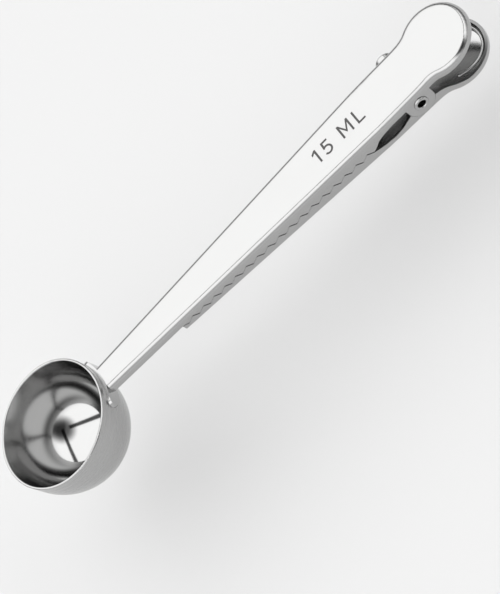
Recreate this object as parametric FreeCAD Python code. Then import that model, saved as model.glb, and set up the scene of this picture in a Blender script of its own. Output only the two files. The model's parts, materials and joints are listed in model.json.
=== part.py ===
import FreeCAD, Part
import math
import os

# Coffee scoop whose handle is a spring bag clip: a long pressed channel with the bowl welded to
# its front end, and a short pressed channel hinged below it with teeth along both jaws.
# Millimetres. Everything is first built in the handle's own frame: +X from the bowl to the thumb
# pads, +Z out of the handle's top face, Y across, and X = 0 at the hinge. It is then laid down
# as it lies on a table, on the bowl's bottom and the end of the lower pad.

V = FreeCAD.Vector

# Sheet metal
SHEET = 0.8
UPPER_BEND_R = 2.0
LOWER_BEND_R = 1.4

# Bowl: a hemisphere below a short straight band
BOWL_R = 18.0
BOWL_WALL = 0.7
BAND_H = 5.2
BOWL_X = -129.9
RIM_Z = 1.3
LIP_R = 0.3

# Plan of both handle channels
FRONT_HALF_W = 4.25
FRONT_X = -112.0
TAPER_END_X = -14.0
TAPER_END_HALF_W = 8.05
HINGE_HALF_W = 8.15
HINGE_FLAT_X = (-5.0, 4.5)
PAD_X = 13.5
PAD_R = 10.4
PAD_JOIN_DEG = 120.0

# Side profile
HINGE_Z = -4.85
PLAIN_WALL = 3.15
PAD_RIM_H = 2.4
FLARE_X = 3.0
FLARE_DEG = 3.6
FLARE_BEND_R = 40.0
LOWER_FRONT_X = -85.5
LOWER_BACK_Z = -10.0
LOWER_SLOPE_DEG = 2.7

# Teeth, counted from the hinge towards the bowl
TOOTH_PITCH = 3.9
TOOTH_COUNT = 17
TOOTH_H = 1.35
TOOTH_FALL = 1.8
FIRST_CREST_X = -19.1
FIRST_CREST_Z = -4.3
SEAM_RISE = 0.0255
SEAM_GAP = 0.23
SEAM_SHIFT = 0.23

# Hinge
RIVET_R = 1.5
RIVET_BORE_R = 1.15
RIVET_BORE_DEPTH = 4.0
RIVET_HEAD_R = 2.8
RIVET_HEAD_H = 2.3
RIVET_HEAD_EDGE_R = 0.5
RIVET_FLARE_R = 2.1
RIVET_FLARE_H = 0.55
EAR_HOLE_CLEARANCE = 0.01
HOLE_CLEARANCE = 0.05
EAR_R = 4.2
EAR_GAP = 0.12
NOTCH_GAP = 0.05
INNER_EAR_R = 2.95
JOGGLE_OVERLAP = 0.4

# Saddle that holds the bowl
SADDLE_HALF_SPAN = 8.6
SADDLE_TOP_Z = 0.0
SADDLE_H = 4.3
WELD_GAP = 0.03

# Torsion spring round the rivet
WIRE_R = 0.45
COIL_IN_R = 1.7
COIL_TURNS = 9
HOOK_GAP = 0.45
LEG_GAP = 0.05
LEG_BEND_R = 8.0
UPPER_LEG_X = (12.0, 18.0)
LOWER_LEG_RISE = (6.8, 4.6, 0.9)
LOWER_LEG_NECK = (11.5, 7.7, 0.0)
HOOK_END_X = 11.6
HOOK_END_Z = -7.1

# Wall edges of the windows and ears in side view, as (x, z) from the pad end forwards
UPPER_RIM_X = 12.0
UPPER_WINDOW = [(EAR_R, -2.7), (-EAR_R, -2.95), (-9.0, -2.8), (-12.3, -3.1),
                (-14.4, -3.7), (-15.7, -4.7)]
LOWER_RIM_X = 13.0
LOWER_WINDOW = [(10.3, -8.0), (EAR_R, -6.4), (-EAR_R, -5.6), (-7.9, -6.9),
                (-10.8, -7.15), (-14.1, -6.7)]
INNER_EAR = [(-5.8, -9.15), (-5.8, -7.2), (-INNER_EAR_R, HINGE_Z), (INNER_EAR_R, HINGE_Z),
             (4.0, -6.6), (5.8, -7.4), (5.8, -9.8)]
FRONT_TOOTH_X = -84.9

# Room past the metal for cutting bodies, and for side view outlines past the pads
MARGIN = 40.0
OVERRUN = 2.0

# Which faces count as web and which as wall: upward part of the face's normal
WEB_TILT = 0.9
WALL_TILT = 0.2
TOLERANCE = 1e-6


def polygon_xz(points, y):
    """Closed flat face through (x, z) points at the given y."""
    corners = [V(x, y, z) for x, z in points]
    return Part.Face(Part.makePolygon(corners + corners[:1]))


def across(face, width):
    """Slab made by moving a face along +Y."""
    return face.extrude(V(0, width, 0))


def on_both_sides(shape):
    """A shape together with its mirror image across the handle."""
    return shape.fuse(shape.mirror(V(0, 0, 0), V(0, 1, 0)))


# ---------------------------------------------------------------- plan outline

def taper_slope():
    """Growth of the half width per millimetre of length."""
    return (TAPER_END_HALF_W - FRONT_HALF_W) / (TAPER_END_X - FRONT_X)


def half_width(x):
    """Half width of the tapered stretch in front of the hinge."""
    return TAPER_END_HALF_W + (x - TAPER_END_X) * taper_slope()


def smooth_edge(start, start_along, end, end_along):
    """Curve between two points that leaves and arrives along the given directions."""
    curve = Part.BSplineCurve()
    curve.interpolate(Points=[start, end], InitialTangent=start_along, FinalTangent=end_along)
    return curve.toShape()


def side_edges(front_x, inset, side):
    """Taper, flat stretch at the hinge and neck of one side, up to the pad's circle."""
    slope = math.atan(taper_slope())
    along = V(math.cos(slope), side * math.sin(slope), 0)
    inward = V(math.sin(slope), -side * math.cos(slope), 0) * inset
    join = math.radians(PAD_JOIN_DEG)
    radius = PAD_R - inset
    start = V(front_x, side * half_width(front_x), 0) + inward
    taper_end = V(TAPER_END_X, side * TAPER_END_HALF_W, 0) + inward
    flat_start, flat_end = [V(x, side * (HINGE_HALF_W - inset), 0) for x in HINGE_FLAT_X]
    pad_join = V(PAD_X + radius * math.cos(join), side * radius * math.sin(join), 0)
    pad_along = V(math.sin(join), -side * math.cos(join), 0)
    straight_back = V(1, 0, 0)
    edges = [Part.LineSegment(start, taper_end).toShape(),
             smooth_edge(taper_end, along, flat_start, straight_back),
             Part.LineSegment(flat_start, flat_end).toShape(),
             smooth_edge(flat_end, straight_back, pad_join, pad_along)]
    return edges, start, pad_join


def plan_face(front_x, inset):
    """Plan of a channel's outside, or of its inside when inset by the sheet's thickness."""
    far, far_start, far_join = side_edges(front_x, inset, 1)
    near, near_start, near_join = side_edges(front_x, inset, -1)
    pad_end = V(PAD_X + PAD_R - inset, 0, 0)
    edges = far + [Part.Arc(far_join, pad_end, near_join).toShape()]
    edges += near + [Part.LineSegment(near_start, far_start).toShape()]
    return Part.Face(Part.Wire(Part.__sortEdges__(edges)))


# ---------------------------------------------------------------- channel pressing

def bent_line(start, slope_deg, flare_deg, z_at_hinge):
    """Edges of a side view line that runs along a slope and turns by the flare past the hinge."""
    slope = math.radians(slope_deg)
    turn = math.radians(flare_deg)
    reach = FLARE_BEND_R * math.tan(abs(turn) / 2)
    corner = V(FLARE_X, 0, z_at_hinge + FLARE_X * math.tan(slope))
    before = V(math.cos(slope), 0, math.sin(slope))
    after = V(math.cos(slope + turn), 0, math.sin(slope + turn))
    bend_start = corner - before * reach
    bend_end = corner + after * reach
    bisector = (after - before).normalize()
    centre = bend_start + V(-before.z, 0, before.x) * math.copysign(FLARE_BEND_R, turn)
    middle = centre - bisector * FLARE_BEND_R
    first = V(start, 0, z_at_hinge + start * math.tan(slope))
    last = corner + after * MARGIN
    edges = [Part.LineSegment(first, bend_start).toShape(),
             Part.Arc(bend_start, middle, bend_end).toShape(),
             Part.LineSegment(bend_end, last).toShape()]
    return edges, first, last


def side_slab(line, first, last, depth):
    """Everything between a side view line and a level line at the given depth."""
    low_last = V(last.x, 0, depth)
    low_first = V(first.x, 0, depth)
    edges = line + [Part.LineSegment(last, low_last).toShape(),
                    Part.LineSegment(low_last, low_first).toShape(),
                    Part.LineSegment(low_first, first).toShape()]
    face = Part.Face(Part.Wire(Part.__sortEdges__(edges)))
    face.translate(V(0, -MARGIN / 2, 0))
    return across(face, MARGIN)


def web_edges(solid, upward):
    """Edges where the channel's web meets its walls."""
    found = []
    front_x = solid.BoundBox.XMin
    for edge in solid.Edges:
        tilts = []
        for face in solid.ancestorsOfType(edge, Part.Face):
            u, v = face.Surface.parameter(edge.CenterOfMass)
            tilts.append(face.normalAt(u, v).z * upward)
        joins_web = max(tilts) > WEB_TILT and min(tilts) < WALL_TILT
        if joins_web and edge.BoundBox.XMax > front_x + SHEET:
            found.append(edge)
    return found


def pressing(front_x, slope_deg, flare_deg, z_at_hinge, upward, bend_r):
    """Channel with full walls: outer form less inner form, both with a rounded web edge."""
    forms = []
    for inset in (0.0, SHEET):
        start_x = front_x - inset
        line, first, last = bent_line(start_x - SHEET, slope_deg, flare_deg,
                                      z_at_hinge - upward * inset)
        block = side_slab(line, first, last, z_at_hinge - upward * MARGIN / 2)
        plan = plan_face(start_x, inset)
        plan.translate(V(0, 0, -MARGIN))
        form = plan.extrude(V(0, 0, 2 * MARGIN)).common(block).Solids[0]
        forms.append(form.makeFillet(bend_r - inset, web_edges(form, upward)))
    return forms[0].cut(forms[1])


# ---------------------------------------------------------------- side profiles

def crest(index):
    """Top of a tooth gap on the seam between the jaws."""
    x = FIRST_CREST_X - index * TOOTH_PITCH
    return x, FIRST_CREST_Z + (FIRST_CREST_X - x) * SEAM_RISE


def seam(jaw):
    """Zigzag edge of a jaw, from the hinge end to the front: jaw is 1 above and -1 below. The
    jaws nearly touch on the flanks that face the pads' end, and stand apart on the others."""
    move_x = jaw * SEAM_SHIFT / 2
    move_z = jaw * SEAM_GAP / 2
    points = []
    for index in range(TOOTH_COUNT):
        x, z = crest(index)
        points.append((x + TOOTH_FALL + move_x, z - TOOTH_H + move_z))
        points.append((x + move_x, z + move_z))
    x, z = crest(TOOTH_COUNT)
    points.append((x + TOOTH_FALL + move_x, z - TOOTH_H + move_z))
    return points


def flare_z(x, z_at_hinge, slope_deg, flare_deg, offset):
    """Height of a line parallel to a channel's web behind the hinge."""
    slope = math.tan(math.radians(slope_deg))
    turned = math.tan(math.radians(slope_deg + flare_deg))
    return z_at_hinge + FLARE_X * slope + (x - FLARE_X) * turned + offset


def upper_keep():
    """Side view of the metal that the upper channel keeps, without its ears."""
    tail_x = PAD_X + PAD_R + OVERRUN
    rim = [(x, flare_z(x, 0.0, 0.0, FLARE_DEG, -PAD_RIM_H)) for x in (tail_x, UPPER_RIM_X)]
    teeth = seam(1)
    top = [(BOWL_X, MARGIN), (tail_x, MARGIN)]
    front = [(FRONT_TOOTH_X, -PLAIN_WALL), (BOWL_X, -PLAIN_WALL)]
    return top + rim + UPPER_WINDOW + teeth + front


def lower_keep():
    """Side view of the metal that the lower channel keeps, without its inner ears."""
    tail_x = PAD_X + PAD_R + OVERRUN
    rim = [(x, flare_z(x, LOWER_BACK_Z, -LOWER_SLOPE_DEG, -FLARE_DEG, PAD_RIM_H))
           for x in (tail_x, LOWER_RIM_X)]
    teeth = seam(-1)
    bottom = [(LOWER_FRONT_X, -MARGIN), (tail_x, -MARGIN)]
    front = [(FRONT_TOOTH_X, -PLAIN_WALL - SEAM_GAP), (LOWER_FRONT_X, -PLAIN_WALL - SEAM_GAP)]
    return bottom + rim + LOWER_WINDOW + teeth + front


def slab(points):
    """A side view outline as a slab right across the handle."""
    return across(polygon_xz(points, -MARGIN / 2), MARGIN)


def disc(radius, y, width):
    """Round slab about the hinge axis."""
    return Part.makeCylinder(radius, width, V(0, y, HINGE_Z), V(0, 1, 0))


# ---------------------------------------------------------------- lying down

def lying_angle():
    """Tilt of the handle, in degrees, when bowl and lower pad both touch the table."""
    back_x = PAD_X + PAD_R - LOWER_BEND_R
    back_z = flare_z(back_x, LOWER_BACK_Z, -LOWER_SLOPE_DEG, -FLARE_DEG, LOWER_BEND_R)
    run = back_x - BOWL_X
    rise = RIM_Z - back_z
    drop = BAND_H + BOWL_R - LOWER_BEND_R
    return math.degrees(math.asin(drop / math.hypot(run, rise)) - math.atan2(rise, run))


def upright(shape):
    """Stand a shape made about the origin's +Z on the bowl's own axis, rim at the origin."""
    shape.rotate(V(0, 0, 0), V(0, 1, 0), -lying_angle())
    shape.translate(V(BOWL_X, 0, RIM_Z))
    return shape


# ---------------------------------------------------------------- pieces

def saddle():
    """Curved flange with rounded wings that hugs the bowl's wall."""
    outer = Part.makeCylinder(BOWL_R + WELD_GAP + SHEET, 2 * MARGIN, V(0, 0, -MARGIN))
    inner = Part.makeCylinder(BOWL_R + WELD_GAP, 2 * MARGIN, V(0, 0, -MARGIN))
    ring = upright(outer.cut(inner))
    radius = SADDLE_H / 2
    middle_z = SADDLE_TOP_Z - radius
    reach = SADDLE_HALF_SPAN - radius
    wings = Part.makeBox(MARGIN, 2 * reach, SADDLE_H, V(BOWL_X, -reach, middle_z - radius))
    for y in (-reach, reach):
        wings = wings.fuse(Part.makeCylinder(radius, MARGIN, V(BOWL_X, y, middle_z), V(1, 0, 0)))
    return ring.common(wings)


def upper_arm():
    """Long channel: thumb pad, outer ears, teeth, and the saddle welded to the bowl."""
    channel = pressing(BOWL_X, 0.0, FLARE_DEG, 0.0, 1, UPPER_BEND_R)
    ear_top = [(-EAR_R, HINGE_Z), (-EAR_R, 0), (EAR_R, 0), (EAR_R, HINGE_Z)]
    keep = slab(upper_keep()).fuse(slab(ear_top)).fuse(disc(EAR_R, -MARGIN / 2, MARGIN))
    bowl_room = upright(Part.makeCylinder(BOWL_R + WELD_GAP, 2 * MARGIN, V(0, 0, -MARGIN)))
    arm = channel.common(keep).cut(bowl_room).fuse(saddle())
    return arm.cut(disc(RIVET_R + EAR_HOLE_CLEARANCE, -MARGIN / 2, MARGIN)).removeSplitter()


def lower_arm():
    """Short channel: thumb pad, joggled inner ears and teeth."""
    channel = pressing(LOWER_FRONT_X, -LOWER_SLOPE_DEG, -FLARE_DEG, LOWER_BACK_Z, -1, LOWER_BEND_R)
    arm = channel.common(slab(lower_keep()))
    inner_face = HINGE_HALF_W - SHEET - EAR_GAP
    plate = polygon_xz(INNER_EAR, inner_face - SHEET)
    plate = across(plate, SHEET + EAR_GAP + JOGGLE_OVERLAP)
    ear = plate.fuse(disc(INNER_EAR_R, inner_face - SHEET, SHEET))
    notch = disc(EAR_R + NOTCH_GAP, inner_face, MARGIN)
    arm = arm.fuse(on_both_sides(ear)).cut(on_both_sides(notch))
    return arm.cut(disc(RIVET_R + HOLE_CLEARANCE, -MARGIN / 2, MARGIN)).removeSplitter()


def bowl():
    """Deep drawn cup with a rounded lip."""
    inner_r = BOWL_R - BOWL_WALL
    solids = []
    for radius in (BOWL_R, inner_r):
        band = Part.makeCylinder(radius, BAND_H, V(0, 0, -BAND_H))
        solids.append(band.fuse(Part.makeSphere(radius, V(0, 0, -BAND_H))))
    room_above = Part.makeCylinder(2 * BOWL_R, MARGIN, V(0, 0, 0))
    cup = solids[0].cut(solids[1]).cut(room_above).removeSplitter()
    lip = [edge for edge in cup.Edges if abs(edge.BoundBox.ZMin) < TOLERANCE]
    return upright(cup.makeFillet(LIP_R, lip))


def hinge_rivet():
    """Semi-tubular rivet: thick head on the far side, hollow and rolled over on the near side."""
    head_y = HINGE_HALF_W
    top_y = head_y + RIVET_HEAD_H
    tail_y = -HINGE_HALF_W
    end_y = tail_y - RIVET_FLARE_H
    floor_y = tail_y + RIVET_BORE_DEPTH
    roll_mid = V((RIVET_FLARE_R + RIVET_BORE_R) / 2, end_y, 0)
    edge_centre = V(RIVET_HEAD_R - RIVET_HEAD_EDGE_R, top_y - RIVET_HEAD_EDGE_R, 0)
    edge_mid = edge_centre + V(1, 1, 0).normalize() * RIVET_HEAD_EDGE_R
    bore = [V(0, floor_y, 0), V(RIVET_BORE_R, floor_y, 0), V(RIVET_BORE_R, tail_y, 0)]
    shank = [V(RIVET_FLARE_R, tail_y, 0), V(RIVET_R, tail_y, 0), V(RIVET_R, head_y, 0),
             V(RIVET_HEAD_R, head_y, 0), V(RIVET_HEAD_R, edge_centre.y, 0)]
    crown = [V(edge_centre.x, top_y, 0), V(0, top_y, 0), bore[0]]
    edges = []
    for run in (bore, shank, crown):
        edges += [Part.LineSegment(p, q).toShape() for p, q in zip(run, run[1:])]
    edges.append(Part.Arc(bore[-1], roll_mid, shank[0]).toShape())
    edges.append(Part.Arc(shank[-1], edge_mid, crown[0]).toShape())
    half = Part.Face(Part.Wire(Part.__sortEdges__(edges)))
    rivet = half.revolve(V(0, 0, 0), V(0, 1, 0), 360)
    rivet.translate(V(0, 0, HINGE_Z))
    return rivet


def coil():
    """Outer shape of the close-wound turns, ridged, as one ring."""
    mean_r = COIL_IN_R + WIRE_R
    half_l = COIL_TURNS * WIRE_R
    edges = []
    for turn in range(COIL_TURNS):
        middle = -half_l + (2 * turn + 1) * WIRE_R
        edges.append(Part.Arc(V(mean_r, middle - WIRE_R, 0), V(mean_r + WIRE_R, middle, 0),
                              V(mean_r, middle + WIRE_R, 0)).toShape())
    corners = [V(mean_r, half_l, 0), V(COIL_IN_R, half_l, 0), V(COIL_IN_R, -half_l, 0),
               V(mean_r, -half_l, 0)]
    edges += [Part.LineSegment(p, q).toShape() for p, q in zip(corners, corners[1:])]
    ring = Part.Face(Part.Wire(edges)).revolve(V(0, 0, 0), V(0, 1, 0), 360)
    ring.translate(V(0, 0, HINGE_Z))
    return ring


def wire_through(points, bend_r):
    """Round wire along straight runs with an arc of radius bend_r at each corner."""
    edges = []
    start = points[0]
    for before, corner, after in zip(points, points[1:], points[2:]):
        into = (corner - before).normalize()
        out = (after - corner).normalize()
        turn = into.getAngle(out)
        reach = bend_r * math.tan(turn / 2)
        arc_start = corner - into * reach
        arc_end = corner + out * reach
        inward = (out - into).normalize()
        arc_mid = corner + inward * (bend_r / math.cos(turn / 2) - bend_r)
        edges += [Part.LineSegment(start, arc_start).toShape(),
                  Part.Arc(arc_start, arc_mid, arc_end).toShape()]
        start = arc_end
    edges.append(Part.LineSegment(start, points[-1]).toShape())
    section = Part.makeCircle(WIRE_R, points[0], points[1] - points[0])
    return Part.Wire(edges).makePipeShell([Part.Wire(section)], True, False)


def torsion_spring():
    """Coil round the rivet, a leg under the upper pad and a hooked leg round the lower pad."""
    mean_r = COIL_IN_R + WIRE_R
    leg_y = (COIL_TURNS - 1) * WIRE_R
    hook_y = PAD_R - SHEET - WIRE_R - HOOK_GAP
    hook_x = PAD_X + hook_y
    top_start = V(0, -leg_y, HINGE_Z + mean_r)
    low_start = V(0, leg_y, HINGE_Z - mean_r)
    upper_leg = [top_start] + [V(x, -leg_y, upper_leg_z(x)) for x in UPPER_LEG_X]
    lower_leg = [low_start]
    for x, y, above_web in (LOWER_LEG_RISE, LOWER_LEG_NECK, (hook_x, hook_y, 0), (hook_x, -hook_y, 0)):
        lower_leg.append(V(x, y, lower_leg_z(x) + above_web))
    lower_leg.append(V(HOOK_END_X, -hook_y, HOOK_END_Z))
    spring = coil().fuse(wire_through(upper_leg, LEG_BEND_R))
    return spring.fuse(wire_through(lower_leg, LEG_BEND_R)).removeSplitter()


def upper_leg_z(x):
    """Height of the wire's centre where it lies against the upper pad."""
    return flare_z(x, 0.0, 0.0, FLARE_DEG, -SHEET - WIRE_R - LEG_GAP)


def lower_leg_z(x):
    """Height of the wire's centre where it lies against the lower pad."""
    return flare_z(x, LOWER_BACK_Z, -LOWER_SLOPE_DEG, -FLARE_DEG, SHEET + WIRE_R + LEG_GAP)


def main():
    pieces = {
        "upper_arm": upper_arm(),
        "lower_arm": lower_arm(),
        "bowl": bowl(),
        "hinge_rivet": hinge_rivet(),
        "torsion_spring": torsion_spring(),
    }
    os.makedirs("parts", exist_ok=True)
    tilt = lying_angle()
    for shape in pieces.values():
        shape.rotate(V(0, 0, 0), V(0, 1, 0), tilt)
    box = Part.makeCompound(list(pieces.values())).optimalBoundingBox(False, False)
    to_origin = V(-box.Center.x, -box.Center.y, -box.ZMin)
    for name, shape in pieces.items():
        shape.translate(to_origin)
        shape.exportStep(os.path.join("parts", name + ".step"))
        print(name, "valid", shape.isValid(), "solids", len(shape.Solids),
              "volume %.1f" % shape.Volume)
    print("tilt %.4f" % tilt, "shift", to_origin, "box", box)


main()
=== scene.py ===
import json
import math

import bmesh
import bpy
from mathutils import Matrix, Vector


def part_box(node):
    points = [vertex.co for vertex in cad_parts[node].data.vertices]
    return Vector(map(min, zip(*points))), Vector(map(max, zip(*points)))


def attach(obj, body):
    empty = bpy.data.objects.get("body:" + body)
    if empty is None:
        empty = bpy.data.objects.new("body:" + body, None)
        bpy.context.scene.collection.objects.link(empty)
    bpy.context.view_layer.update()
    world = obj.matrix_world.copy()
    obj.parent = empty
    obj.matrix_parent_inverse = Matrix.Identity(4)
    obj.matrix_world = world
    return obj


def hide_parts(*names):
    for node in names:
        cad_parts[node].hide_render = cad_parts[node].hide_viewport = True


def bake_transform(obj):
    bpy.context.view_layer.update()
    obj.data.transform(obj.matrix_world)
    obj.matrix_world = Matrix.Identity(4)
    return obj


# Coffee scoop with a bag clip handle. Metres throughout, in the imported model's own frame.

MM = 0.001

# Camera
AZIMUTH = math.radians(23.10)
ELEVATION = math.radians(48.75)
ROLL = math.radians(-65.36)
DISTANCE = 0.5583
AIM = Vector((-0.01022, 0.0, -0.00297))
SENSOR_MM = 36.0
LENS_MM = 149.19

# Room
FLOOR_HALF = 8.0
FLOOR_DROP = 0.026    # the open jaw reaches 18 mm below the closed scoop
FLOOR_COLOR = (0.6, 0.6, 0.6, 1.0)
TENT_FRONT = 0.85
TENT_BEHIND = 0.3
TENT_TURN_Y = 0.4
TENT_HIGH = 2.12
TENT_LOW_Z = 0.25
TENT_HIGH_Z = 0.62
OPENING_RIGHT = 0.14
OPENING_UP = 0.12
OPENING_IN = math.radians(7)
OPENING_OUT = math.radians(30)
OPENING_DIM = 0.1
# Dark lines that run out from the opening: the angle of the side that has no line, half widths
# of the core and edge, darkness
SEAMS = ((math.radians(20), 0.035, 0.08, 0.93), (math.radians(-69), 0.03, 0.07, 0.93),
         (math.radians(178), 0.04, 0.38, 0.7))
SEAM_START = -0.1

# Steel. Roughness is from the smoothest to the roughest spot.
STEEL = (0.43, 0.43, 0.428)
NOISE_LOW = 0.3
NOISE_HIGH = 0.7
GRAIN_STRETCH = (0.03, 1.0, 1.0)
GRAIN_SCALE = 5000.0
GRAIN_SHARE = 0.6
CLOUD_SCALE = 60.0
CLOUD_SHARE = 0.4
RING_SCALE = 3500.0
SCRATCH_SCALE = 3000.0
ETCH_SCALE = 4000.0
PAPER_SCALE = 900.0
ARM_ROUGH = (0.12, 0.18)
RIVET_ROUGH = (0.12, 0.2)
SPRING_ROUGH = (0.15, 0.25)
BOWL_INSIDE_ROUGH = (0.05, 0.17)
BOWL_RING_ROUGH = 0.04
BOWL_OUTSIDE_ROUGH = (0.25, 0.28)
# Upward cut edges of the lower arm's walls: extra roughness, painted shade that darkens their colour, and the
# height and facing ranges of their mask
CUT_ROUGHER = 0.2
CUT_EDGE_PAINTED_SHADE = 5.0
CUT_ABOVE = (0.35 * MM, 0.6 * MM)
CUT_FACING = (0.55, 0.75)
WIRE_TONE = 0.8

# Bowl
BOWL_WALL = 0.7 * MM

# Handle, in its own frame: origin on the top face above the hinge, x towards the pads
SHEET = 0.8 * MM
PAD_X = 13.5 * MM
FLARE_X = 3.0 * MM
FLARE = math.radians(3.6)
LOWER_SLOPE = math.radians(2.7)
LOWER_BACK_Z = -10.0 * MM

# Spring
WIRE_R = 0.45 * MM
WIRE_SIDES = 20
COIL_R = 2.15 * MM
COIL_HALF_L = 3.6 * MM
COIL_TURNS = 7.5
COIL_STEPS = 48       # points in one turn
LEG_STEPS = 40
TIP_STEPS = 6
LEG_GAP = 0.05 * MM
HOOK_R = 8.7 * MM
UPPER_LEG_REST_X = 12.0 * MM
UPPER_LEG_END_X = 18.0 * MM
HOOK_DIVE = 1.3       # how much sooner the hooked leg is down than out
HOOK_END_X = 11.6 * MM
HOOK_END_Z = -7.1 * MM

# Capacity mark. Its width and strokes are in units of its height.
MARK_X = -21.0 * MM
MARK_H = 4.6 * MM
MARK_W = 3.78
STROKE = 0.13
MARK_LIFT = 0.012 * MM


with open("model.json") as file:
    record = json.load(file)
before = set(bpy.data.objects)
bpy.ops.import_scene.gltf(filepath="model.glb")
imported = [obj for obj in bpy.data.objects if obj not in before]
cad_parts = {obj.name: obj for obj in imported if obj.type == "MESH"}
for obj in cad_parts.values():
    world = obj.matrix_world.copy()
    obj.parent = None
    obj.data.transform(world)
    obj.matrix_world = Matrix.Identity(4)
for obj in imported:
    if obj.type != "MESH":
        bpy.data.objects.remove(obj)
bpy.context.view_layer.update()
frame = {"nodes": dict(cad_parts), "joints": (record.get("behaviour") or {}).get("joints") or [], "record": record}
nodes = frame["nodes"]
mounts = {m["name"]: m for m in frame["record"]["mounts"]}
hinge = Vector(frame["joints"][0]["pos_m"])

# ---------------------------------------------------------------- the handle's own frame

top_normal = Vector(mounts["upper_arm_top"]["axis"]).normalized()
top_point = Vector(mounts["upper_arm_top"]["pos_m"])
hinge_depth = (top_point - hinge).dot(top_normal)
handle_origin = hinge + top_normal * hinge_depth
along = Vector((top_normal.z, 0.0, -top_normal.x))


def on_handle(x, y, z):
    """A point of the handle's own frame in the row frame."""
    return handle_origin + along * x + Vector((0.0, y, 0.0)) + top_normal * z


# ---------------------------------------------------------------- mesh helpers

def add_mesh(name, bm, smooth=True):
    """Make an object of a bmesh."""
    mesh = bpy.data.meshes.new(name)
    bm.to_mesh(mesh)
    bm.free()
    for polygon in mesh.polygons:
        polygon.use_smooth = smooth
    obj = bpy.data.objects.new(name, mesh)
    bpy.context.scene.collection.objects.link(obj)
    return obj


def sweep(bm, points, radius, sides=WIRE_SIDES):
    """Round wire along a line of points, with a domed end at each end."""
    rings = []
    tangents = []
    for i, point in enumerate(points):
        ahead = points[min(i + 1, len(points) - 1)]
        behind = points[max(i - 1, 0)]
        tangents.append((ahead - behind).normalized())
    normal = tangents[0].orthogonal().normalized()
    for point, tangent in zip(points, tangents):
        normal = (normal - tangent * normal.dot(tangent)).normalized()
        side = tangent.cross(normal)
        rings.append((point, tangent, normal, side, radius))
    first, last = rings[0], rings[-1]
    dome = [math.radians(a) for a in (60, 30)]
    start = [(first[0] - first[1] * radius * math.sin(a), *first[1:4], radius * math.cos(a))
             for a in dome]
    end = [(last[0] + last[1] * radius * math.sin(a), *last[1:4], radius * math.cos(a))
           for a in reversed(dome)]
    loops = []
    for centre, tangent, u, v, r in start + rings + end:
        loop = []
        for k in range(sides):
            angle = 2 * math.pi * k / sides
            loop.append(bm.verts.new(centre + u * r * math.cos(angle) + v * r * math.sin(angle)))
        loops.append(loop)
    for a, b in zip(loops, loops[1:]):
        for k in range(sides):
            n = (k + 1) % sides
            bm.faces.new((a[k], a[n], b[n], b[k]))
    tip_start = bm.verts.new(first[0] - first[1] * radius)
    tip_end = bm.verts.new(last[0] + last[1] * radius)
    for k in range(sides):
        n = (k + 1) % sides
        bm.faces.new((loops[0][n], loops[0][k], tip_start))
        bm.faces.new((loops[-1][k], loops[-1][n], tip_end))
    bmesh.ops.recalc_face_normals(bm, faces=bm.faces)


def smooth_step(t):
    t = min(max(t, 0.0), 1.0)
    return t * t * (3 - 2 * t)


# ---------------------------------------------------------------- materials

def map_range(tree, value, ranges, interpolation="LINEAR"):
    """Map a value from one range, the first two numbers, to another, the last two."""
    node = tree.nodes.new("ShaderNodeMapRange")
    node.interpolation_type = interpolation
    for key, number in zip(("From Min", "From Max", "To Min", "To Max"), ranges):
        node.inputs[key].default_value = number
    tree.links.new(value, node.inputs["Value"])
    return node.outputs["Result"]


def calculate(tree, operation, a, b):
    """Arithmetic on sockets or numbers."""
    node = tree.nodes.new("ShaderNodeMath")
    node.operation = operation
    for socket, value in zip(node.inputs, (a, b)):
        if isinstance(value, (int, float)):
            socket.default_value = value
        else:
            tree.links.new(value, socket)
    return node.outputs["Value"]


def dot_with(tree, vector, axis):
    """How far a vector points along a fixed axis."""
    node = tree.nodes.new("ShaderNodeVectorMath")
    node.operation = "DOT_PRODUCT"
    node.inputs[1].default_value = axis
    tree.links.new(vector, node.inputs[0])
    return node.outputs["Value"]


class Nodes:
    """Short way to build a material's node tree."""

    def __init__(self, name):
        self.material = bpy.data.materials.new(name)
        self.material.use_nodes = True
        self.tree = self.material.node_tree
        self.shader = self.tree.nodes["Principled BSDF"]

    def link(self, source, target):
        self.tree.links.new(source, target)

    def ramp(self, value, low, high, out_low, out_high):
        return map_range(self.tree, value, (low, high, out_low, out_high))

    def spread(self, noise, out_low, out_high):
        """Noise stretched over a range."""
        return self.ramp(noise, NOISE_LOW, NOISE_HIGH, out_low, out_high)

    def noise(self, coordinates, scale, detail=4.0, stretch=(1, 1, 1)):
        """Noise at a scale per metre, stretched along the axes."""
        mapping = self.tree.nodes.new("ShaderNodeMapping")
        mapping.inputs["Scale"].default_value = stretch
        self.link(coordinates, mapping.inputs["Vector"])
        node = self.tree.nodes.new("ShaderNodeTexNoise")
        node.inputs["Scale"].default_value = scale
        node.inputs["Detail"].default_value = detail
        self.link(mapping.outputs["Vector"], node.inputs["Vector"])
        return node.outputs["Fac"]

    def math(self, operation, a, b):
        return calculate(self.tree, operation, a, b)

    def bump(self, height, strength, distance):
        node = self.tree.nodes.new("ShaderNodeBump")
        node.inputs["Strength"].default_value = strength
        node.inputs["Distance"].default_value = distance
        self.link(height, node.inputs["Height"])
        return node.outputs["Normal"]

    def object_coordinates(self):
        return self.tree.nodes.new("ShaderNodeTexCoord").outputs["Object"]


def tint(nodes, value, low, high):
    """Steel colour that varies a little between two brightnesses, into the shader's colour."""
    mix = nodes.tree.nodes.new("ShaderNodeMix")
    mix.data_type = "RGBA"
    mix.clamp_factor = False
    mix.inputs["A"].default_value = [c * low for c in STEEL] + [1.0]
    mix.inputs["B"].default_value = [c * high for c in STEEL] + [1.0]
    nodes.link(value, mix.inputs["Factor"])
    nodes.link(mix.outputs["Result"], nodes.shader.inputs["Base Color"])


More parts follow.
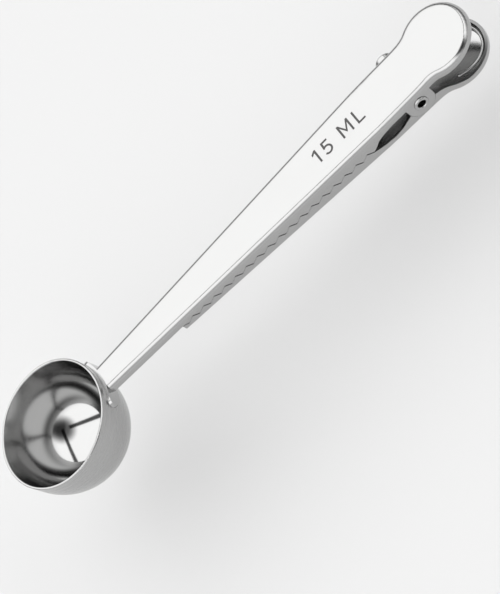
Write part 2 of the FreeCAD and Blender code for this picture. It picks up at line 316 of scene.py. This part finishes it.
def cut_edge_roughness_and_shade_mask(n):
    """1 on the upward cut edges of the lower arm's walls, 0 elsewhere. Where it is 1, the edges are made rougher
    and their colour is darkened with painted shade.
    """
    geometry = n.tree.nodes.new("ShaderNodeNewGeometry")
    heights = []
    for slope, point in ((-LOWER_SLOPE, (0.0, LOWER_BACK_Z + SHEET)),
                         (-LOWER_SLOPE - FLARE, (FLARE_X, lower_wire_z(FLARE_X) - WIRE_R))):
        up = top_normal * math.cos(slope) - along * math.sin(slope)
        level = on_handle(point[0], 0.0, point[1]).dot(up)
        height = dot_with(n.tree, n.object_coordinates(), up)
        heights.append(n.math("SUBTRACT", height, level))
    above = n.ramp(n.math("MAXIMUM", *heights), *CUT_ABOVE, 0.0, 1.0)
    facing = dot_with(n.tree, geometry.outputs["True Normal"], top_normal)
    return n.math("MULTIPLY", above, n.ramp(facing, *CUT_FACING, 0.0, 1.0))


def brushed_steel(name, rough, cut_edges_rough_and_shaded=False):
    """Satin sheet with fine grain lines along one direction and faint clouding; optionally rougher cut edges,
    darkened with painted shade.
    """
    n = Nodes(name)
    where = n.object_coordinates()
    grain = n.noise(where, GRAIN_SCALE, 3.0, GRAIN_STRETCH)
    cloud = n.noise(where, CLOUD_SCALE, 2.0)
    n.shader.inputs["Metallic"].default_value = 1.0
    mixed = n.math("ADD", n.math("MULTIPLY", grain, GRAIN_SHARE),
                   n.math("MULTIPLY", cloud, CLOUD_SHARE))
    roughness = n.spread(mixed, *rough)
    if cut_edges_rough_and_shaded:
        edges = cut_edge_roughness_and_shade_mask(n)
        roughness = n.math("ADD", roughness, n.math("MULTIPLY", edges, CUT_ROUGHER))
        # Painted shade: the colour of the cut edges is darkened
        mixed = n.math("SUBTRACT", mixed, n.math("MULTIPLY", edges, CUT_EDGE_PAINTED_SHADE))
    n.link(roughness, n.shader.inputs["Roughness"])
    tint(n, mixed, 0.95, 1.05)
    n.link(n.bump(grain, 0.08, 0.02 * MM), n.shader.inputs["Normal"])
    return n.material


def bowl_steel(name, axis_point, bowl_r, wall_middle):
    """Spun bowl: polished inside, satin outside, with fine turning rings."""
    n = Nodes(name)
    shift = n.tree.nodes.new("ShaderNodeVectorMath")
    shift.operation = "SUBTRACT"
    n.link(n.object_coordinates(), shift.inputs[0])
    shift.inputs[1].default_value = axis_point
    parts = n.tree.nodes.new("ShaderNodeSeparateXYZ")
    n.link(shift.outputs["Vector"], parts.inputs["Vector"])
    below = n.math("MINIMUM", parts.outputs["Z"], 0.0)
    joined = n.tree.nodes.new("ShaderNodeCombineXYZ")
    n.link(parts.outputs["X"], joined.inputs["X"])
    n.link(parts.outputs["Y"], joined.inputs["Y"])
    n.link(below, joined.inputs["Z"])
    length = n.tree.nodes.new("ShaderNodeVectorMath")
    length.operation = "LENGTH"
    n.link(joined.outputs["Vector"], length.inputs[0])
    outside = n.math("GREATER_THAN", length.outputs["Value"], wall_middle)
    rings = n.tree.nodes.new("ShaderNodeTexNoise")
    rings.noise_dimensions = "1D"
    rings.inputs["Scale"].default_value = RING_SCALE
    rings.inputs["Detail"].default_value = 3.0
    n.link(parts.outputs["Z"], rings.inputs["W"])
    ring = rings.outputs["Fac"]
    n.shader.inputs["Metallic"].default_value = 1.0
    height = n.ramp(parts.outputs["Z"], -0.7 * bowl_r, 0.1 * bowl_r, *BOWL_INSIDE_ROUGH)
    polished = n.math("ADD", height, n.spread(ring, 0.0, BOWL_RING_ROUGH))
    satin = n.spread(ring, *BOWL_OUTSIDE_ROUGH)
    gap = n.math("MULTIPLY", n.math("SUBTRACT", satin, polished), outside)
    n.link(n.math("ADD", polished, gap), n.shader.inputs["Roughness"])
    tint(n, ring, 0.985, 1.015)
    n.link(n.bump(ring, 0.01, 0.004 * MM), n.shader.inputs["Normal"])
    return n.material


def polished_steel(name, rough, tone=1.0):
    """Small turned or drawn part with faint scratches."""
    n = Nodes(name)
    where = n.object_coordinates()
    fine = n.noise(where, SCRATCH_SCALE, 3.0)
    n.shader.inputs["Metallic"].default_value = 1.0
    n.link(n.spread(fine, *rough), n.shader.inputs["Roughness"])
    tint(n, fine, 0.92 * tone, 1.06 * tone)
    n.link(n.bump(fine, 0.05, 0.01 * MM), n.shader.inputs["Normal"])
    return n.material


def etched(name):
    """Dark matt laser marking."""
    n = Nodes(name)
    fine = n.noise(n.object_coordinates(), ETCH_SCALE, 3.0)
    n.link(n.spread(fine, 0.5, 0.7), n.shader.inputs["Roughness"])
    mix = n.tree.nodes.new("ShaderNodeMix")
    mix.data_type = "RGBA"
    mix.inputs["A"].default_value = (0.03, 0.03, 0.03, 1.0)
    mix.inputs["B"].default_value = (0.07, 0.068, 0.066, 1.0)
    n.link(fine, mix.inputs["Factor"])
    n.link(mix.outputs["Result"], n.shader.inputs["Base Color"])
    return n.material


def floor_paper(name):
    """Plain pale backdrop paper."""
    n = Nodes(name)
    fine = n.noise(n.object_coordinates(), PAPER_SCALE, 3.0)
    n.shader.inputs["Base Color"].default_value = FLOOR_COLOR
    n.link(n.spread(fine, 0.85, 0.95), n.shader.inputs["Roughness"])
    return n.material


def paint(obj, material):
    obj.data.materials.clear()
    obj.data.materials.append(material)


# ---------------------------------------------------------------- spring

def upper_wire_z(x):
    """Height of the wire where it lies against the upper pad."""
    return (x - FLARE_X) * math.tan(FLARE) - SHEET - WIRE_R - LEG_GAP


def lower_wire_z(x):
    """Height of the wire where it lies on the lower pad's floor."""
    drop = FLARE_X * math.tan(LOWER_SLOPE) + (x - FLARE_X) * math.tan(LOWER_SLOPE + FLARE)
    return LOWER_BACK_Z - drop + SHEET + WIRE_R + LEG_GAP


def coil_points():
    """Helix from the upper leg at the top, round the front, to the lower leg at the bottom."""
    count = int(COIL_TURNS * COIL_STEPS)
    points = []
    for i in range(count + 1):
        angle = 2 * math.pi * i / COIL_STEPS
        y = -COIL_HALF_L + 2 * COIL_HALF_L * i / count
        x = -COIL_R * math.sin(angle)
        z = -hinge_depth + COIL_R * math.cos(angle)
        points.append(on_handle(x, y, z))
    return points


def upper_leg_points():
    """From the coil's top to the underside of the upper pad."""
    points = []
    for i in range(LEG_STEPS + 1):
        x = UPPER_LEG_END_X * i / LEG_STEPS
        rest = upper_wire_z(x)
        rise = smooth_step(x / UPPER_LEG_REST_X)
        start = -hinge_depth + COIL_R
        points.append(on_handle(x, -COIL_HALF_L, start + (rest - start) * rise))
    return points


def hook_points():
    """From the coil's bottom out to the lower pad's wall, round it, and up at the free end."""
    points = []
    start_z = -hinge_depth - COIL_R
    for i in range(LEG_STEPS):
        t = i / LEG_STEPS
        x = PAD_X * t
        y = COIL_HALF_L + (HOOK_R - COIL_HALF_L) * smooth_step(t)
        z = start_z + (lower_wire_z(x) - start_z) * smooth_step(HOOK_DIVE * t)
        points.append(on_handle(x, y, z))
    apex_x = PAD_X + HOOK_R
    apex_z = lower_wire_z(apex_x)
    for i in range(2 * LEG_STEPS + 1):
        angle = math.pi / 2 - math.pi * i / (2 * LEG_STEPS)
        x = PAD_X + HOOK_R * math.cos(angle)
        z = lower_wire_z(x)
        if angle < 0:
            z = free_end_z(x, apex_x, apex_z)
        points.append(on_handle(x, HOOK_R * math.sin(angle), z))
    for i in range(1, TIP_STEPS + 1):
        x = PAD_X + (HOOK_END_X - PAD_X) * i / TIP_STEPS
        points.append(on_handle(x, -HOOK_R, free_end_z(x, apex_x, apex_z)))
    return points


def free_end_z(x, apex_x, apex_z):
    """Past the pad's end the hook rises evenly to its free end."""
    t = (apex_x - x) / (apex_x - HOOK_END_X)
    return apex_z + (HOOK_END_Z - apex_z) * t


def build_spring(material):
    bm = bmesh.new()
    sweep(bm, coil_points(), WIRE_R)
    coil = add_mesh("spring_coil", bm)
    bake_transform(coil)
    bm = bmesh.new()
    sweep(bm, upper_leg_points(), WIRE_R)
    upper_leg = add_mesh("spring_upper_leg", bm)
    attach(upper_leg, "scoop")
    bm = bmesh.new()
    sweep(bm, hook_points(), WIRE_R)
    hook = add_mesh("spring_hook_leg", bm)
    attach(hook, "clip_lever")
    for piece in (coil, upper_leg, hook):
        paint(piece, material)
        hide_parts("torsion_spring")


# ---------------------------------------------------------------- capacity mark

def arc(centre, radius, first_deg, last_deg, count=16):
    """Points of an arc in the plane."""
    points = []
    for i in range(count + 1):
        angle = math.radians(first_deg + (last_deg - first_deg) * i / count)
        points.append((centre[0] + radius * math.cos(angle), centre[1] + radius * math.sin(angle)))
    return points


def mark_outlines():
    """Outlines of the characters 1, 5, M and L, one unit high, each with its left edge."""
    t = STROKE
    one = [(0.35, 0.0), (0.35, 1.0), (0.24, 1.0), (0.0, 0.84), (0.0, 0.68), (0.22, 0.82),
           (0.22, 0.0)]
    five = [(0.1, 1.0), (0.58, 1.0), (0.58, 1 - t), (0.225, 1 - t)]
    five += arc((0.3, 0.33), 0.335, 105, -148)
    five += arc((0.3, 0.33), 0.335 - t, -148, 140)
    five += [(0.07, 0.5)]
    letter_m = [(0.0, 0.0), (t, 0.0), (t, 0.76), (0.42, 0.18), (0.84 - t, 0.76), (0.84 - t, 0.0),
                (0.84, 0.0), (0.84, 1.0), (0.84 - t, 1.0), (0.42, 0.42), (t, 1.0), (0.0, 1.0)]
    letter_l = [(0.0, 0.0), (0.56, 0.0), (0.56, t), (t, t), (t, 1.0), (0.0, 1.0)]
    return ((0.0, one), (0.68, five), (2.05, letter_m), (3.22, letter_l))


def build_mark(material):
    """Shallow etched capacity mark, 15 ML, on the handle's top face."""
    bm = bmesh.new()
    for left, outline in mark_outlines():
        corners = []
        for x, y in outline:
            place = (MARK_X + (left + x - MARK_W / 2) * MARK_H, (y - 0.5) * MARK_H)
            corners.append(bm.verts.new(on_handle(*place, MARK_LIFT)))
        face = bm.faces.new(corners)
        deep = bmesh.ops.extrude_face_region(bm, geom=[face], use_keep_orig=True)
        low = [v for v in deep["geom"] if isinstance(v, bmesh.types.BMVert)]
        bmesh.ops.translate(bm, verts=low, vec=-top_normal * 2 * MARK_LIFT)
    bmesh.ops.recalc_face_normals(bm, faces=bm.faces)
    bmesh.ops.triangulate(bm, faces=bm.faces)
    mark = add_mesh("capacity_mark", bm, smooth=False)
    paint(mark, material)
    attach(mark, "scoop")


# ---------------------------------------------------------------- room

def build_floor():
    bm = bmesh.new()
    bmesh.ops.create_grid(bm, x_segments=8, y_segments=8, size=FLOOR_HALF)
    bmesh.ops.translate(bm, verts=bm.verts, vec=(0, 0, -FLOOR_DROP))
    floor = add_mesh("floor", bm, smooth=False)
    paint(floor, floor_paper("floor_paper"))


def camera_axes():
    """The camera's right, up and backward directions."""
    back = Vector((math.sin(AZIMUTH) * math.cos(ELEVATION),
                   -math.cos(AZIMUTH) * math.cos(ELEVATION), math.sin(ELEVATION)))
    level = Vector((math.cos(AZIMUTH), math.sin(AZIMUTH), 0))
    rise = back.cross(level)
    right = level * math.cos(ROLL) + rise * math.sin(ROLL)
    up = rise * math.cos(ROLL) - level * math.sin(ROLL)
    return right, up, back


def build_tent():
    """Light tent: bright overhead, dimmer low down, with seams and an opening to shoot through."""
    world = bpy.data.worlds.new("light_tent")
    bpy.context.scene.world = world
    world.use_nodes = True
    tree = world.node_tree
    right, up, back = camera_axes()
    opening_axis = (back + right * OPENING_RIGHT + up * OPENING_UP).normalized()
    direction = tree.nodes.new("ShaderNodeTexCoord").outputs["Generated"]

    def along_axis(axis):
        return dot_with(tree, direction, axis)

    def ease(value, *ranges):
        return map_range(tree, value, ranges, "SMOOTHSTEP")

    def combine(operation, a, b):
        return calculate(tree, operation, a, b)

    low = ease(along_axis((0, 1, 0)), -TENT_TURN_Y, TENT_TURN_Y, TENT_FRONT, TENT_BEHIND)
    upper_part = ease(along_axis((0, 0, 1)), TENT_LOW_Z, TENT_HIGH_Z, 0.0, 1.0)
    glow = combine("ADD", combine("MULTIPLY", combine("SUBTRACT", 1.0, upper_part), low),
                   combine("MULTIPLY", upper_part, TENT_HIGH))
    opening = ease(along_axis(opening_axis), math.cos(OPENING_OUT), math.cos(OPENING_IN),
                   1.0, OPENING_DIM)
    glow = combine("MULTIPLY", glow, opening)
    for angle, core, edge, darkness in SEAMS:
        clear_side = right * math.cos(angle) + up * math.sin(angle)
        distance = combine("ABSOLUTE", along_axis(opening_axis.cross(clear_side)), 0.0)
        line = ease(distance, core, edge, darkness, 0.0)
        side = ease(along_axis(clear_side), SEAM_START, 0.0, 1.0, 0.0)
        dark = combine("MULTIPLY", line, side)
        keep = combine("SUBTRACT", 1.0, dark)
        glow = combine("MULTIPLY", glow, keep)
    tree.links.new(glow, tree.nodes["Background"].inputs["Strength"])
    tree.nodes["Background"].inputs["Color"].default_value = (1, 1, 1, 1)


def build_camera():
    right, up, back = camera_axes()
    data = bpy.data.cameras.new("camera")
    data.sensor_fit = "HORIZONTAL"
    data.sensor_width = SENSOR_MM
    data.lens = LENS_MM
    data.clip_start = 0.01
    data.clip_end = 10.0
    camera = bpy.data.objects.new("camera", data)
    bpy.context.scene.collection.objects.link(camera)
    turn = Matrix((right, up, back)).transposed()
    camera.matrix_world = Matrix.Translation(AIM + back * DISTANCE) @ turn.to_4x4()
    bpy.context.scene.camera = camera


# ---------------------------------------------------------------- build

bowl_low, bowl_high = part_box("bowl")
bowl_r = (bowl_high.x - bowl_low.x) / 2
sphere_centre = Vector(((bowl_low.x + bowl_high.x) / 2, 0.0, bowl_low.z + bowl_r))

paint(nodes["upper_arm"], brushed_steel("arm_steel", ARM_ROUGH))
paint(nodes["lower_arm"], brushed_steel("lower_arm_steel", ARM_ROUGH, cut_edges_rough_and_shaded=True))
paint(nodes["bowl"], bowl_steel("bowl_steel", sphere_centre, bowl_r, bowl_r - BOWL_WALL / 2))
paint(nodes["hinge_rivet"], polished_steel("rivet_steel", RIVET_ROUGH))
build_spring(polished_steel("spring_steel", SPRING_ROUGH, WIRE_TONE))
build_mark(etched("etched_mark"))

build_floor()
build_tent()
build_camera()
bpy.context.scene.view_settings.view_transform = "Standard"

bpy.context.view_layer.update()
